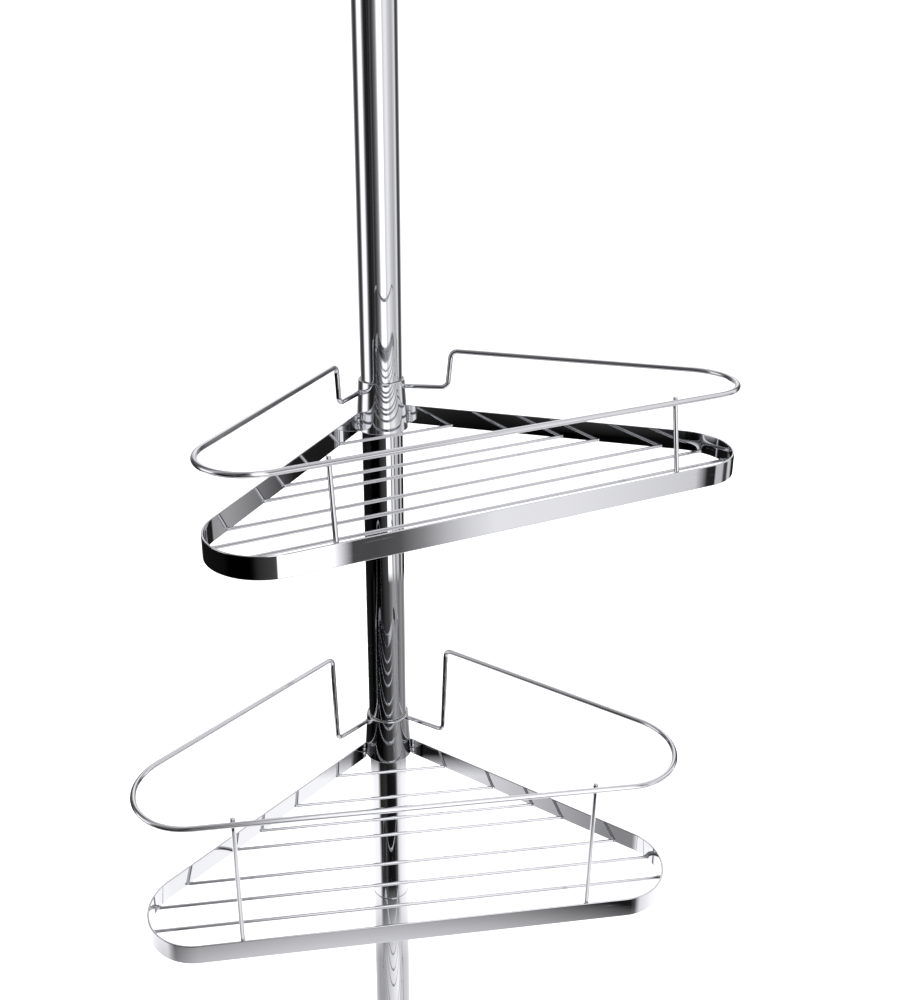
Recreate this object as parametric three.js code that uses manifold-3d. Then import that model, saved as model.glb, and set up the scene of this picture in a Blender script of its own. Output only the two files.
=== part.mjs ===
// Corner shower caddy: a telescoping tension pole with three triangular wire shelves.
// Millimetres, +Z up. The origin is the centre of the floor pad's underside, and the
// shelves point their straight front edge towards -Y when they are not swivelled.

import * as THREE from 'three';
import { mergeVertices } from 'three/addons/utils/BufferGeometryUtils.js';
import Module from 'manifold-3d';

// ---------- driving dimensions ----------

const GAP = 0.3; // between pieces that touch on the real object
const RUNNING_CLEARANCE = 0.08; // radial, between pieces that slide or turn
const ROUND_SEGMENTS = 36;

const POLE_RADIUS = 12.5;
const POLE_WALL = 1.0;
const POLE_JOINT_Z = 410; // where the two outer tubes meet
const POLE_TOP_Z = 1030;
const COUPLER = { length: 80, wall: 2.0 };

const INNER_TUBE = { radius: 10.7, wall: 0.9, bottomZ: 630, topZ: 1190 };

const PAD = { radius: 30, thickness: 4, lipHeight: 3.5, lipWidth: 2.2, edge: 1 };
const FOOT = { radius: 27.5, rim: 4, height: 38, socketRadius: 12.6, neckRadius: 16.4, floor: 8 };
const CEILING_FOOT = { radius: 27.5, rim: 4, height: 30, neckRadius: 9.5, floor: 7 };
const FLARE = { heightPerWidth: 0.8, steps: 5 };

const COLLET = {
  depth: 25,
  flange: 3,
  fingers: 18,
  slotWidth: 1.4,
  slotRise: 1, // above the flange
  slotCount: 4,
  taper: 0.5,
};
const COLLAR = { radius: 17.5, below: 22, above: 26, lip: 1.2, shoulderHeight: 4, shoulderWidth: 3 };
const FLUTE = { count: 12, radius: 2.6, centreBeyondGrip: 1.2, length: 36, drop: 1, sides: 10 };

const SPRING = {
  wireRadius: 0.8,
  meanRadius: 7.4,
  turns: 9,
  stepsPerTurn: 10,
  bottomZ: 1080,
  topZ: 1175.5,
  sides: 6,
};
const SPRING_SEAT = { thickness: 8, hubRadius: 5.4, hubHeight: 7, hubTaper: 0.8 };
const PLUNGER = { radius: 6, headRadius: 9.2, headThickness: 5, exposed: 30, sides: 24 };
const END_BUSH = { depth: 8, flange: 3, taper: 0.6 };

// Guard rails: top is above the sleeve's top edge, front is in front of the pole's axis.
const TALL_RAIL = { top: 56.4, front: 169.8, cornerRadius: 32.2 };
const LOW_RAIL = { top: 17.3, front: 160, cornerRadius: 25.3 };
const SHELVES = [
  { name: 'lower', sleeveTopZ: 260, turnDeg: 0, rimDrop: 23, rail: TALL_RAIL },
  { name: 'middle', sleeveTopZ: 560, turnDeg: 0, rimDrop: 23, rail: TALL_RAIL },
  { name: 'upper', sleeveTopZ: 795, turnDeg: 18.4, rimDrop: 18.9, rail: LOW_RAIL },
];

const SLEEVE = { topRadius: 14.0, bottomRadius: 15.8, height: 31, wall: 0.9 };
const WEDGE = { topInset: 0.6, split: 1.6 };

const LEG_ANGLE = THREE.MathUtils.degToRad(46.9); // each leg, measured from straight forward
const RIM = { front: 165.5, legOffset: 10.4, cornerRadius: 29.7, height: 11.6, thickness: 1 };
const RAIL = { legOffset: 9.9, radius: 1.5, bendSteps: 8 };
const RAIL_STEP = {
  footAlongLeg: 38.5,
  topAlongLeg: 40.8,
  dropAtSleeve: 7,
  dropAtFoot: 5.4,
  bendRadius: 4.5,
};
const POST = { halfSpacing: 94, radius: 1.25, nub: 0.6, footRise: 3 };
const WIRE_RADIUS = 0.95;
const WIRE_SETBACKS = [21, 47, 67.3, 82, 106.8, 123.5, 140.6]; // from the pole's axis

// ---------- materials ----------

const FINISHES = {
  chrome: { color: 0xd8d9dc, roughness: 0.06, metalness: 1 },
  galvanised: { color: 0x9fa3a6, roughness: 0.4, metalness: 1 },
  greyPlastic: { color: 0x8b8e92, roughness: 0.5, metalness: 0 },
  whiteNylon: { color: 0xe4e3de, roughness: 0.45, metalness: 0 },
  rubber: { color: 0x2b2c2e, roughness: 0.85, metalness: 0 },
};

// ---------- building helpers ----------

const wasm = await Module();
wasm.setup();

function namedMesh(name, geometry, finish) {
  const mesh = new THREE.Mesh(geometry, new THREE.MeshStandardMaterial(FINISHES[finish]));
  mesh.name = name;
  return mesh;
}

// A solid of revolution about Z from [radius, z] points that run anticlockwise in the r-z plane.
function turned(profile, segments = ROUND_SEGMENTS) {
  const geometry = new THREE.LatheGeometry(profile.map(([r, z]) => new THREE.Vector2(r, z)), segments);
  return geometry.rotateX(Math.PI / 2);
}

// A ring whose r-z section is closed on itself.
function turnedRing(profile, segments = ROUND_SEGMENTS) {
  return turned([...profile, profile[0]], segments);
}

function tubeRing(outerRadius, wall, bottomZ, topZ) {
  const innerRadius = outerRadius - wall;
  return turnedRing([
    [outerRadius, bottomZ],
    [outerRadius, topZ],
    [innerRadius, topZ],
    [innerRadius, bottomZ],
  ]);
}

function toSolid(geometry) {
  const bare = geometry.clone();
  bare.deleteAttribute('normal');
  bare.deleteAttribute('uv');
  const welded = mergeVertices(bare, 1e-4);
  return new wasm.Manifold(new wasm.Mesh({
    numProp: 3,
    vertProperties: new Float32Array(welded.attributes.position.array),
    triVerts: new Uint32Array(welded.index.array),
  }));
}

function toGeometry(solid) {
  const mesh = solid.getMesh();
  const geometry = new THREE.BufferGeometry();
  geometry.setAttribute('position', new THREE.BufferAttribute(mesh.vertProperties, 3));
  geometry.setIndex(new THREE.BufferAttribute(mesh.triVerts, 1));
  geometry.computeVertexNormals();
  return geometry;
}

// Takes each cutter away from the body.
function cut(body, cutters) {
  const solid = cutters.reduce((left, cutter) => left.subtract(toSolid(cutter)), toSolid(body));
  return toGeometry(solid);
}

// Rounds the inner corners of an open line: each gets an arc of its own radius.
function withBends(corners, radii, stepsPerRightAngle = 5) {
  const points = [corners[0]];
  for (let i = 1; i < corners.length - 1; i += 1) {
    const [before, corner, after] = corners.slice(i - 1, i + 2);
    points.push(...bendPoints(before, corner, after, radii[i - 1], stepsPerRightAngle));
  }
  points.push(corners[corners.length - 1]);
  return points;
}

function bendPoints(before, corner, after, radius, stepsPerRightAngle) {
  const back = before.clone().sub(corner).normalize();
  const onward = after.clone().sub(corner).normalize();
  const turn = Math.PI - back.angleTo(onward);
  const centre = back.clone().add(onward).normalize()
    .multiplyScalar(radius / Math.cos(turn / 2)).add(corner);
  const start = back.clone().multiplyScalar(radius * Math.tan(turn / 2)).add(corner).sub(centre);
  const axis = new THREE.Vector3().crossVectors(back, onward).normalize().negate();
  const steps = Math.max(2, Math.ceil((stepsPerRightAngle * turn) / (Math.PI / 2)));
  const points = [];
  for (let step = 0; step <= steps; step += 1) {
    points.push(start.clone().applyAxisAngle(axis, (turn * step) / steps).add(centre));
  }
  return points;
}

// A path for ExtrudeGeometry that stops at each of its points, mitred where it turns.
class StepPath extends THREE.Curve {
  constructor(points) {
    super();
    this.points = points;
  }

  getPoint(t, target = new THREE.Vector3()) {
    const place = t * (this.points.length - 1);
    const index = Math.min(Math.round(place), this.points.length - 1);
    return target.copy(this.points[index]);
  }

  getPointAt(u, target) {
    return this.getPoint(u, target);
  }

  getTangent(t, target = new THREE.Vector3()) {
    const last = this.points.length - 1;
    const index = Math.round(t * last);
    const here = this.points[index];
    const inward = here.clone().sub(this.points[Math.max(index - 1, 0)]).normalize();
    const outward = this.points[Math.min(index + 1, last)].clone().sub(here).normalize();
    return target.copy(inward).add(outward).normalize();
  }

  getTangentAt(u, target) {
    return this.getTangent(u, target);
  }
}

function wireAlong(points, radius, sides = 8) {
  const section = new THREE.Shape();
  for (let side = 0; side < sides; side += 1) {
    const angle = (2 * Math.PI * side) / sides;
    const x = radius * Math.cos(angle);
    const y = radius * Math.sin(angle);
    if (side === 0) {
      section.moveTo(x, y);
    } else {
      section.lineTo(x, y);
    }
  }
  section.closePath();
  return new THREE.ExtrudeGeometry(section, {
    steps: points.length - 1,
    extrudePath: new StepPath(points),
  });
}

// A straight round bar between two points.
function barMesh(name, from, to, radius, finish, sides = 8) {
  const along = to.clone().sub(from);
  const mesh = namedMesh(name, new THREE.CylinderGeometry(radius, radius, along.length(), sides), finish);
  mesh.position.copy(from).add(to).multiplyScalar(0.5);
  mesh.quaternion.setFromUnitVectors(new THREE.Vector3(0, 1, 0), along.normalize());
  return mesh;
}

// ---------- pole ----------

// A shallow rubber dish with its flat side at z = 0; it holds a foot disc of the given radius.
function padGeometry() {
  const dishRadius = FOOT.radius + GAP;
  const lipTop = PAD.thickness + PAD.lipHeight;
  return turned([
    [0, 0],
    [PAD.radius - PAD.edge, 0],
    [PAD.radius, PAD.edge],
    [dishRadius + PAD.lipWidth, lipTop],
    [dishRadius, lipTop],
    [dishRadius, PAD.thickness],
    [0, PAD.thickness],
  ]);
}

// A foot that flares from a round socket to a disc, socket upwards.
function footGeometry({ radius, rim, height, neckRadius, floor }, socketRadius) {
  const base = PAD.thickness + GAP;
  const top = base + height;
  const flareTop = base + rim + (radius - neckRadius) * FLARE.heightPerWidth;
  const profile = [[0, base], [radius, base], [radius, base + rim]];
  for (let step = 1; step <= FLARE.steps; step += 1) {
    const sweep = (Math.PI / 2) * (step / FLARE.steps);
    profile.push([
      radius - (radius - neckRadius) * Math.sin(sweep),
      flareTop - (flareTop - base - rim) * Math.cos(sweep),
    ]);
  }
  profile.push([neckRadius, top], [socketRadius, top], [socketRadius, base + floor], [0, base + floor]);
  return turned(profile);
}

function footSocketFloorZ(foot) {
  return PAD.thickness + GAP + foot.floor;
}

function buildPole() {
  const pole = new THREE.Group();
  pole.add(namedMesh('floor_pad', padGeometry(), 'rubber'));
  pole.add(namedMesh('floor_foot', footGeometry(FOOT, FOOT.socketRadius), 'greyPlastic'));
  const lowerTubeBottom = footSocketFloorZ(FOOT) + GAP;
  pole.add(namedMesh(
    'lower_tube',
    tubeRing(POLE_RADIUS, POLE_WALL, lowerTubeBottom, POLE_JOINT_Z - GAP / 2),
    'chrome',
  ));
  pole.add(namedMesh(
    'upper_tube',
    tubeRing(POLE_RADIUS, POLE_WALL, POLE_JOINT_Z + GAP / 2, POLE_TOP_Z),
    'chrome',
  ));
  const couplerRadius = POLE_RADIUS - POLE_WALL - RUNNING_CLEARANCE;
  const couplerBottom = POLE_JOINT_Z - COUPLER.length / 2;
  pole.add(namedMesh(
    'tube_coupler',
    tubeRing(couplerRadius, COUPLER.wall, couplerBottom, couplerBottom + COUPLER.length),
    'galvanised',
  ));
  pole.add(colletMesh());
  return pole;
}

// Plastic collet in the mouth of the outer tube; its slotted fingers grip the inner tube.
function colletMesh() {
  const bore = INNER_TUBE.radius + RUNNING_CLEARANCE;
  const insideRadius = POLE_RADIUS - POLE_WALL - RUNNING_CLEARANCE;
  const flangeBottom = POLE_TOP_Z + GAP;
  const flangeTop = flangeBottom + COLLET.flange;
  const fingerTop = flangeTop + COLLET.fingers;
  const ring = turnedRing([
    [insideRadius, POLE_TOP_Z - COLLET.depth],
    [insideRadius, flangeBottom],
    [POLE_RADIUS, flangeBottom],
    [POLE_RADIUS, flangeTop],
    [POLE_RADIUS - COLLET.taper, fingerTop],
    [bore, fingerTop],
    [bore, POLE_TOP_Z - COLLET.depth],
  ]);
  const slots = [];
  const slotBottom = flangeTop + COLLET.slotRise;
  const acrossRing = 4 * POLE_RADIUS;
  for (let index = 0; index < COLLET.slotCount / 2; index += 1) {
    const slot = new THREE.BoxGeometry(acrossRing, COLLET.slotWidth, COLLET.fingers);
    slot.translate(0, 0, slotBottom + COLLET.fingers / 2);
    slots.push(slot.rotateZ((2 * Math.PI * index) / COLLET.slotCount));
  }
  return namedMesh('grip_collet', cut(ring, slots), 'whiteNylon');
}

// Fluted collar that is twisted to squeeze the collet on the inner tube.
function collarMesh() {
  const bottom = POLE_TOP_Z - COLLAR.below;
  const top = POLE_TOP_Z + COLLAR.above;
  const wideBore = POLE_RADIUS + RUNNING_CLEARANCE;
  const narrowBore = INNER_TUBE.radius + 2 * RUNNING_CLEARANCE;
  const shoulder = POLE_TOP_Z + 2 * GAP + COLLET.flange + COLLET.fingers;
  const ring = turnedRing([
    [COLLAR.radius - COLLAR.lip, bottom],
    [COLLAR.radius, bottom + COLLAR.lip],
    [COLLAR.radius, top - COLLAR.shoulderHeight],
    [COLLAR.radius - COLLAR.shoulderWidth, top],
    [narrowBore, top],
    [narrowBore, shoulder],
    [wideBore, shoulder],
    [wideBore, bottom],
  ]);
  const flutes = [];
  for (let index = 0; index < FLUTE.count; index += 1) {
    const flute = new THREE.CylinderGeometry(FLUTE.radius, FLUTE.radius, FLUTE.length, FLUTE.sides);
    flute.rotateX(Math.PI / 2);
    flute.translate(COLLAR.radius + FLUTE.centreBeyondGrip, 0, (bottom + top) / 2 - FLUTE.drop);
    flutes.push(flute.rotateZ((2 * Math.PI * index) / FLUTE.count));
  }
  return namedMesh('lock_collar', cut(ring, flutes), 'greyPlastic');
}

// ---------- telescoping top ----------

function bushTopZ() {
  return INNER_TUBE.topZ + GAP + END_BUSH.flange;
}

function buildExtension() {
  const extension = new THREE.Group();
  extension.add(namedMesh(
    'inner_tube',
    tubeRing(INNER_TUBE.radius, INNER_TUBE.wall, INNER_TUBE.bottomZ, INNER_TUBE.topZ),
    'chrome',
  ));
  const boreRadius = INNER_TUBE.radius - INNER_TUBE.wall - RUNNING_CLEARANCE;
  const seatTop = SPRING.bottomZ - SPRING.wireRadius - GAP;
  extension.add(namedMesh('spring_seat', turned([
    [0, seatTop - SPRING_SEAT.thickness],
    [boreRadius, seatTop - SPRING_SEAT.thickness],
    [boreRadius, seatTop],
    [SPRING_SEAT.hubRadius, seatTop],
    [SPRING_SEAT.hubRadius - SPRING_SEAT.hubTaper, seatTop + SPRING_SEAT.hubHeight],
    [0, seatTop + SPRING_SEAT.hubHeight],
  ]), 'whiteNylon'));
  extension.add(namedMesh('tension_spring', springGeometry(), 'galvanised'));
  const rodBore = PLUNGER.radius + RUNNING_CLEARANCE;
  extension.add(namedMesh('end_bush', turnedRing([
    [boreRadius, INNER_TUBE.topZ - END_BUSH.depth],
    [boreRadius, INNER_TUBE.topZ + GAP],
    [INNER_TUBE.radius, INNER_TUBE.topZ + GAP],
    [INNER_TUBE.radius - END_BUSH.taper, bushTopZ()],
    [rodBore, bushTopZ()],
    [rodBore, INNER_TUBE.topZ - END_BUSH.depth],
  ]), 'whiteNylon'));
  return extension;
}

function springGeometry() {
  const steps = SPRING.turns * SPRING.stepsPerTurn;
  const points = [];
  for (let step = 0; step <= steps; step += 1) {
    const angle = (2 * Math.PI * step) / SPRING.stepsPerTurn;
    points.push(new THREE.Vector3(
      SPRING.meanRadius * Math.cos(angle),
      SPRING.meanRadius * Math.sin(angle),
      THREE.MathUtils.lerp(SPRING.bottomZ, SPRING.topZ, step / steps),
    ));
  }
  return wireAlong(points, SPRING.wireRadius, SPRING.sides);
}

function buildPlunger() {
  const plunger = new THREE.Group();
  const headBottom = SPRING.topZ + SPRING.wireRadius + GAP;
  const headTop = headBottom + PLUNGER.headThickness;
  const socketDepth = CEILING_FOOT.height - CEILING_FOOT.floor;
  const rodTop = bushTopZ() + PLUNGER.exposed + socketDepth - GAP;
  plunger.add(namedMesh('plunger_rod', turned([
    [0, headBottom],
    [PLUNGER.headRadius, headBottom],
    [PLUNGER.headRadius, headTop],
    [PLUNGER.radius, headTop],
    [PLUNGER.radius, rodTop],
    [0, rodTop],
  ], PLUNGER.sides), 'galvanised'));
  const ceilingZ = rodTop + GAP + footSocketFloorZ(CEILING_FOOT);
  const foot = namedMesh(
    'ceiling_foot',
    footGeometry(CEILING_FOOT, PLUNGER.radius + RUNNING_CLEARANCE),
    'greyPlastic',
  );
  const pad = namedMesh('ceiling_pad', padGeometry(), 'rubber');
  [foot, pad].forEach((mesh) => {
    mesh.rotation.x = Math.PI; // the same shapes, turned over to face the ceiling
    mesh.position.z = ceilingZ;
    plunger.add(mesh);
  });
  return plunger;
}

// ---------- shelves ----------

// A place beside one leg's direction: side is +1 for the right leg, alongLeg starts at the pole's axis.
function onLeg(side, legOffset, alongLeg, z) {
  return new THREE.Vector3(
    side * (legOffset * Math.cos(LEG_ANGLE) + alongLeg * Math.sin(LEG_ANGLE)),
    legOffset * Math.sin(LEG_ANGLE) - alongLeg * Math.cos(LEG_ANGLE),
    z,
  );
}

// Where a leg's line meets the front line.
function frontCorner(side, front, legOffset, z) {
  const alongLeg = (front + legOffset * Math.sin(LEG_ANGLE)) / Math.cos(LEG_ANGLE);
  return onLeg(side, legOffset, alongLeg, z);
}

// The rim's plan line, from the right leg's back end round the front to the left leg's,
// moved inwards by inset.
function rimLine(inset, startAlongLeg) {
  const legOffset = RIM.legOffset - inset;
  const front = RIM.front - inset;
  const radius = RIM.cornerRadius - inset;
  return withBends([
    onLeg(1, legOffset, startAlongLeg, 0),
    frontCorner(1, front, legOffset, 0),
    frontCorner(-1, front, legOffset, 0),
    onLeg(-1, legOffset, startAlongLeg, 0),
  ], [radius, radius], 8);
}

// Flat strip on edge, bent round the shelf and ending on the sleeve.
function rimMesh(name, drop) {
  const sleeveClear = SLEEVE.bottomRadius + GAP;
  const innerOffset = RIM.legOffset - RIM.thickness;
  const legStart = Math.sqrt(sleeveClear ** 2 - innerOffset ** 2);
  const outline = [...rimLine(0, legStart), ...rimLine(RIM.thickness, legStart).reverse()];
  const shape = new THREE.Shape(outline.map(({ x, y }) => new THREE.Vector2(x, y)));
  const geometry = new THREE.ExtrudeGeometry(shape, { depth: RIM.height, bevelEnabled: false });
  geometry.translate(0, 0, -drop - RIM.height);
  return namedMesh(name, geometry, 'chrome');
}

// Guard rail: follows the rim, steps down near the pole and runs in to the sleeve's top edge.
function railMesh(name, { top, front, cornerRadius }) {
  const endShare = (RAIL_STEP.dropAtSleeve + RAIL.radius) / SLEEVE.height;
  const sleeveRadius = THREE.MathUtils.lerp(SLEEVE.topRadius, SLEEVE.bottomRadius, endShare);
  const sleeveClear = sleeveRadius + 2 * GAP;
  const endAlongLeg = Math.sqrt(sleeveClear ** 2 - (RAIL.legOffset - RAIL.radius) ** 2);
  const side = (sign) => [
    onLeg(sign, RAIL.legOffset, endAlongLeg, -RAIL_STEP.dropAtSleeve),
    onLeg(sign, RAIL.legOffset, RAIL_STEP.footAlongLeg, -RAIL_STEP.dropAtFoot),
    onLeg(sign, RAIL.legOffset, RAIL_STEP.topAlongLeg, top),
    frontCorner(sign, front, RAIL.legOffset, top),
  ];
  const bends = [RAIL_STEP.bendRadius, RAIL_STEP.bendRadius, cornerRadius];
  const corners = [...side(1), ...side(-1).reverse()];
  const line = withBends(corners, [...bends, ...bends.slice().reverse()], RAIL.bendSteps);
  return namedMesh(name, wireAlong(line, RAIL.radius), 'chrome');
}

// A post leans from the rim's inner face to the inner side of the rail.
function postMesh(name, side, drop, rail) {
  const foot = new THREE.Vector3(
    side * POST.halfSpacing,
    -(RIM.front - RIM.thickness - POST.radius - 2 * GAP),
    -drop - RIM.height + POST.footRise,
  );
  const atRail = new THREE.Vector3(
    side * POST.halfSpacing,
    -(rail.front - RAIL.radius - POST.radius - GAP),
    rail.top,
  );
  const lean = atRail.clone().sub(foot).normalize();
  const tip = atRail.clone().addScaledVector(lean, RAIL.radius + POST.nub);
  return barMesh(name, foot, tip, POST.radius, 'chrome');
}

// Half the free width between the rim's inner faces at a distance in front of the pole.
function innerHalfWidth(setback) {
  const offset = RIM.legOffset - RIM.thickness;
  const radius = RIM.cornerRadius - RIM.thickness;
  const centreY = RIM.front - RIM.cornerRadius;
  const centreX = (offset - radius + centreY * Math.sin(LEG_ANGLE)) / Math.cos(LEG_ANGLE);
  const arcStart = centreY - radius * Math.sin(LEG_ANGLE);
  if (setback < arcStart) {
    return (offset + setback * Math.sin(LEG_ANGLE)) / Math.cos(LEG_ANGLE);
  }
  return centreX + Math.sqrt(radius ** 2 - (setback - centreY) ** 2);
}

function wireMesh(name, setback, drop) {
  const halfLength = Math.min(
    innerHalfWidth(setback - WIRE_RADIUS),
    innerHalfWidth(setback + WIRE_RADIUS),
  ) - GAP;
  const z = -drop - RIM.height + WIRE_RADIUS;
  const end = (side) => new THREE.Vector3(side * halfLength, -setback, z);
  return barMesh(name, end(-1), end(1), WIRE_RADIUS, 'chrome');
}

function sleeveMesh(name) {
  const { topRadius, bottomRadius, height, wall } = SLEEVE;
  return namedMesh(name, turnedRing([
    [bottomRadius, -height],
    [topRadius, 0],
    [topRadius - wall, 0],
    [bottomRadius - wall, -height],
  ]), 'chrome');
}

// Two half cones between the pole and the sleeve; the shelf's own weight tightens them.
function wedgeMeshes(shelfName) {
  const bore = POLE_RADIUS + RUNNING_CLEARANCE;
  const inSleeve = SLEEVE.wall + RUNNING_CLEARANCE;
  const cone = turnedRing([
    [SLEEVE.bottomRadius - inSleeve, -SLEEVE.height],
    [SLEEVE.topRadius - inSleeve, -WEDGE.topInset],
    [bore, -WEDGE.topInset],
    [bore, -SLEEVE.height],
  ]);
  const size = 4 * SLEEVE.bottomRadius;
  return [['right', -1], ['left', 1]].map(([sideName, awaySign]) => {
    const otherHalf = new THREE.BoxGeometry(size, size, size);
    otherHalf.translate(awaySign * (size / 2 - WEDGE.split / 2), 0, 0);
    return namedMesh(`${shelfName}_wedge_${sideName}`, cut(cone, [otherHalf]), 'whiteNylon');
  });
}

function buildShelf({ name, sleeveTopZ, turnDeg, rimDrop, rail }) {
  const shelf = new THREE.Group();
  shelf.add(...wedgeMeshes(name));
  shelf.add(sleeveMesh(`${name}_sleeve`));
  shelf.add(rimMesh(`${name}_rim`, rimDrop));
  shelf.add(railMesh(`${name}_rail`, rail));
  shelf.add(postMesh(`${name}_post_right`, 1, rimDrop, rail));
  shelf.add(postMesh(`${name}_post_left`, -1, rimDrop, rail));
  WIRE_SETBACKS.forEach((setback, index) => {
    shelf.add(wireMesh(`${name}_wire_${index + 1}`, setback, rimDrop));
  });
  shelf.position.z = sleeveTopZ;
  shelf.rotation.z = THREE.MathUtils.degToRad(turnDeg);
  return shelf;
}

// ---------- assembly ----------

const caddy = new THREE.Group();
caddy.add(buildPole());
caddy.add(collarMesh());
caddy.add(buildExtension());
caddy.add(buildPlunger());
SHELVES.forEach((shelf) => caddy.add(buildShelf(shelf)));

export default caddy;
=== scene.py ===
"""Corner shower caddy: the visible model of a chrome tension pole with three swivelling wire shelves.

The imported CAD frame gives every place. Sizes below are millimetres; meshes are made in metres.
"""

import logging
import math
from dataclasses import dataclass, field
from enum import Enum
from typing import Callable, Iterable, Sequence

import bmesh
import bpy
from mathutils import Matrix, Quaternion, Vector, noise


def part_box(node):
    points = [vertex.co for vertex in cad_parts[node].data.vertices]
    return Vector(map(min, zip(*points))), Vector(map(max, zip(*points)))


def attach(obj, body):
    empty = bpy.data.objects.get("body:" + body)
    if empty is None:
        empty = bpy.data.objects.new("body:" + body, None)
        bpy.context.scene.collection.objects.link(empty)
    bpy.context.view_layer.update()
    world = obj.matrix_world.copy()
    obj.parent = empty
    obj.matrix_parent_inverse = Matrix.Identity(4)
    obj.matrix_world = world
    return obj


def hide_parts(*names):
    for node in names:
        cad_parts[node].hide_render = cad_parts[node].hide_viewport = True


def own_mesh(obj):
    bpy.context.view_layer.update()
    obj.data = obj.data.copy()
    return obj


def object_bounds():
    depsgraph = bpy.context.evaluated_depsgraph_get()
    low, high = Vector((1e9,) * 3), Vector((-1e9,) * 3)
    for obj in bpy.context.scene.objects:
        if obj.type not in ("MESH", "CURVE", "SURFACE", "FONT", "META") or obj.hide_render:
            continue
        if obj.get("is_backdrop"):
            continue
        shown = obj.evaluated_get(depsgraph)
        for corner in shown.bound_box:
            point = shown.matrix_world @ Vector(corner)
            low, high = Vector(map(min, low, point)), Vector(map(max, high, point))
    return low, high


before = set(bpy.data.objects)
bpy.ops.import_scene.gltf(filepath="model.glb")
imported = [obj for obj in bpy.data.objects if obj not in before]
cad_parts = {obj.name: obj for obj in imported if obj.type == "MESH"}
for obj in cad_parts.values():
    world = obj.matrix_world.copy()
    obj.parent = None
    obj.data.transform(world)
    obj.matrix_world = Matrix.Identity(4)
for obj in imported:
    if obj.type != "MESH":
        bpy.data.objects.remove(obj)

log = logging.getLogger("shower_caddy")

MM = 0.001
GRAIN = "grain"  # UV map of every piece: metres along it, and metres round or across it
TURN = 2 * math.pi

NOISE_SPAN = (0.3, 0.7)  # nearly all of a noise's values lie in it

Point2 = tuple[float, float]
Size3 = tuple[float, float, float]
Socket = bpy.types.NodeSocket
Tree = bpy.types.NodeTree
Mesh = bmesh.types.BMesh
Vert = bmesh.types.BMVert


# ---------- materials ----------


def linear(hex_code: str) -> tuple[float, float, float, float]:
    """Turns an sRGB colour into the linear one that a shader takes.

    Args:
        hex_code: six hexadecimal digits, such as "c4c6c9".

    Returns:
        Red, green, blue and an alpha of 1.
    """
    channels = [int(hex_code[i : i + 2], 16) / 255 for i in (0, 2, 4)]
    red, green, blue = (c / 12.92 if c <= 0.04045 else ((c + 0.055) / 1.055) ** 2.4 for c in channels)
    return red, green, blue, 1.0


def add_node(tree: Tree, kind: str, inputs: dict | None = None, **settings) -> bpy.types.Node:
    """Adds a node with its settings, constants and links.

    Args:
        tree: the node tree that gets it.
        kind: the node's type, such as "ShaderNodeTexNoise".
        inputs: by input name or number, a constant or the output socket to link.
        settings: properties of the node itself.

    Returns:
        The new node.
    """
    node = tree.nodes.new(kind)
    for key, value in settings.items():
        setattr(node, key, value)
    for key, value in (inputs or {}).items():
        if isinstance(value, Socket):
            tree.links.new(value, node.inputs[key])
        else:
            node.inputs[key].default_value = value
    return node


class Finish:
    """A surface finish, made into one Blender material the first time that it is used."""

    label: str
    slot: str

    def surface(self, tree: Tree) -> Socket:
        """Adds the finish's nodes and returns the shader output."""
        raise NotImplementedError

    def material(self) -> bpy.types.Material:
        """Returns the finish's material, making it if it doesn't exist yet."""
        made = bpy.data.materials.get(self.label)
        if made:
            return made
        made = bpy.data.materials.new(self.label)
        made.use_nodes = True
        tree = made.node_tree
        tree.nodes.clear()
        add_node(tree, "ShaderNodeOutputMaterial", {"Surface": self.surface(tree)})
        return made


def grain_coordinates(tree: Tree, along_mm: float, across_mm: float) -> Socket:
    """Coordinates that run along and across a piece.

    Args:
        tree: the material's node tree.
        along_mm: size of one pattern unit along the piece.
        across_mm: size of one pattern unit round or across it.

    Returns:
        A vector output, one unit per pattern unit.
    """
    along = add_node(tree, "ShaderNodeUVMap", uv_map=GRAIN)
    scale = (1 / (along_mm * MM), 1 / (across_mm * MM), 1.0)
    inputs = {"Vector": along.outputs["UV"], "Scale": scale}
    return add_node(tree, "ShaderNodeMapping", inputs).outputs["Vector"]


def solid_coordinates(tree: Tree, unit_mm: float) -> Socket:
    """Coordinates in the piece's own space, one unit per unit_mm."""
    place = add_node(tree, "ShaderNodeTexCoord")
    scale = (1 / (unit_mm * MM),) * 3
    inputs = {"Vector": place.outputs["Object"], "Scale": scale}
    return add_node(tree, "ShaderNodeMapping", inputs).outputs["Vector"]


def ranged(tree: Tree, value: Socket, source: Point2, target: Point2) -> Socket:
    """Maps a value from one range to another, held at the target's ends."""
    ends = {"Value": value, 1: source[0], 2: source[1], 3: target[0], 4: target[1]}
    return add_node(tree, "ShaderNodeMapRange", ends, clamp=True).outputs["Result"]


def combined(tree: Tree, operation: str, *values: Socket | float) -> Socket:
    """Joins two values by a sum, product or the like."""
    return add_node(tree, "ShaderNodeMath", dict(enumerate(values)), operation=operation).outputs["Value"]


def noise_field(tree: Tree, place: Socket, detail: float = 2.0, distortion: float = 0.0) -> Socket:
    """Adds a noise with one pattern unit per unit of place."""
    inputs = {"Vector": place, "Scale": 1.0, "Detail": detail, "Distortion": distortion}
    return add_node(tree, "ShaderNodeTexNoise", inputs).outputs["Fac"]


def pressed(tree: Tree, height: Socket, depth_mm: float) -> Socket:
    """Adds a relief of the given depth and returns its normal."""
    inputs = {"Height": height, "Strength": 1.0, "Distance": depth_mm * MM}
    return add_node(tree, "ShaderNodeBump", inputs).outputs["Normal"]


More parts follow.
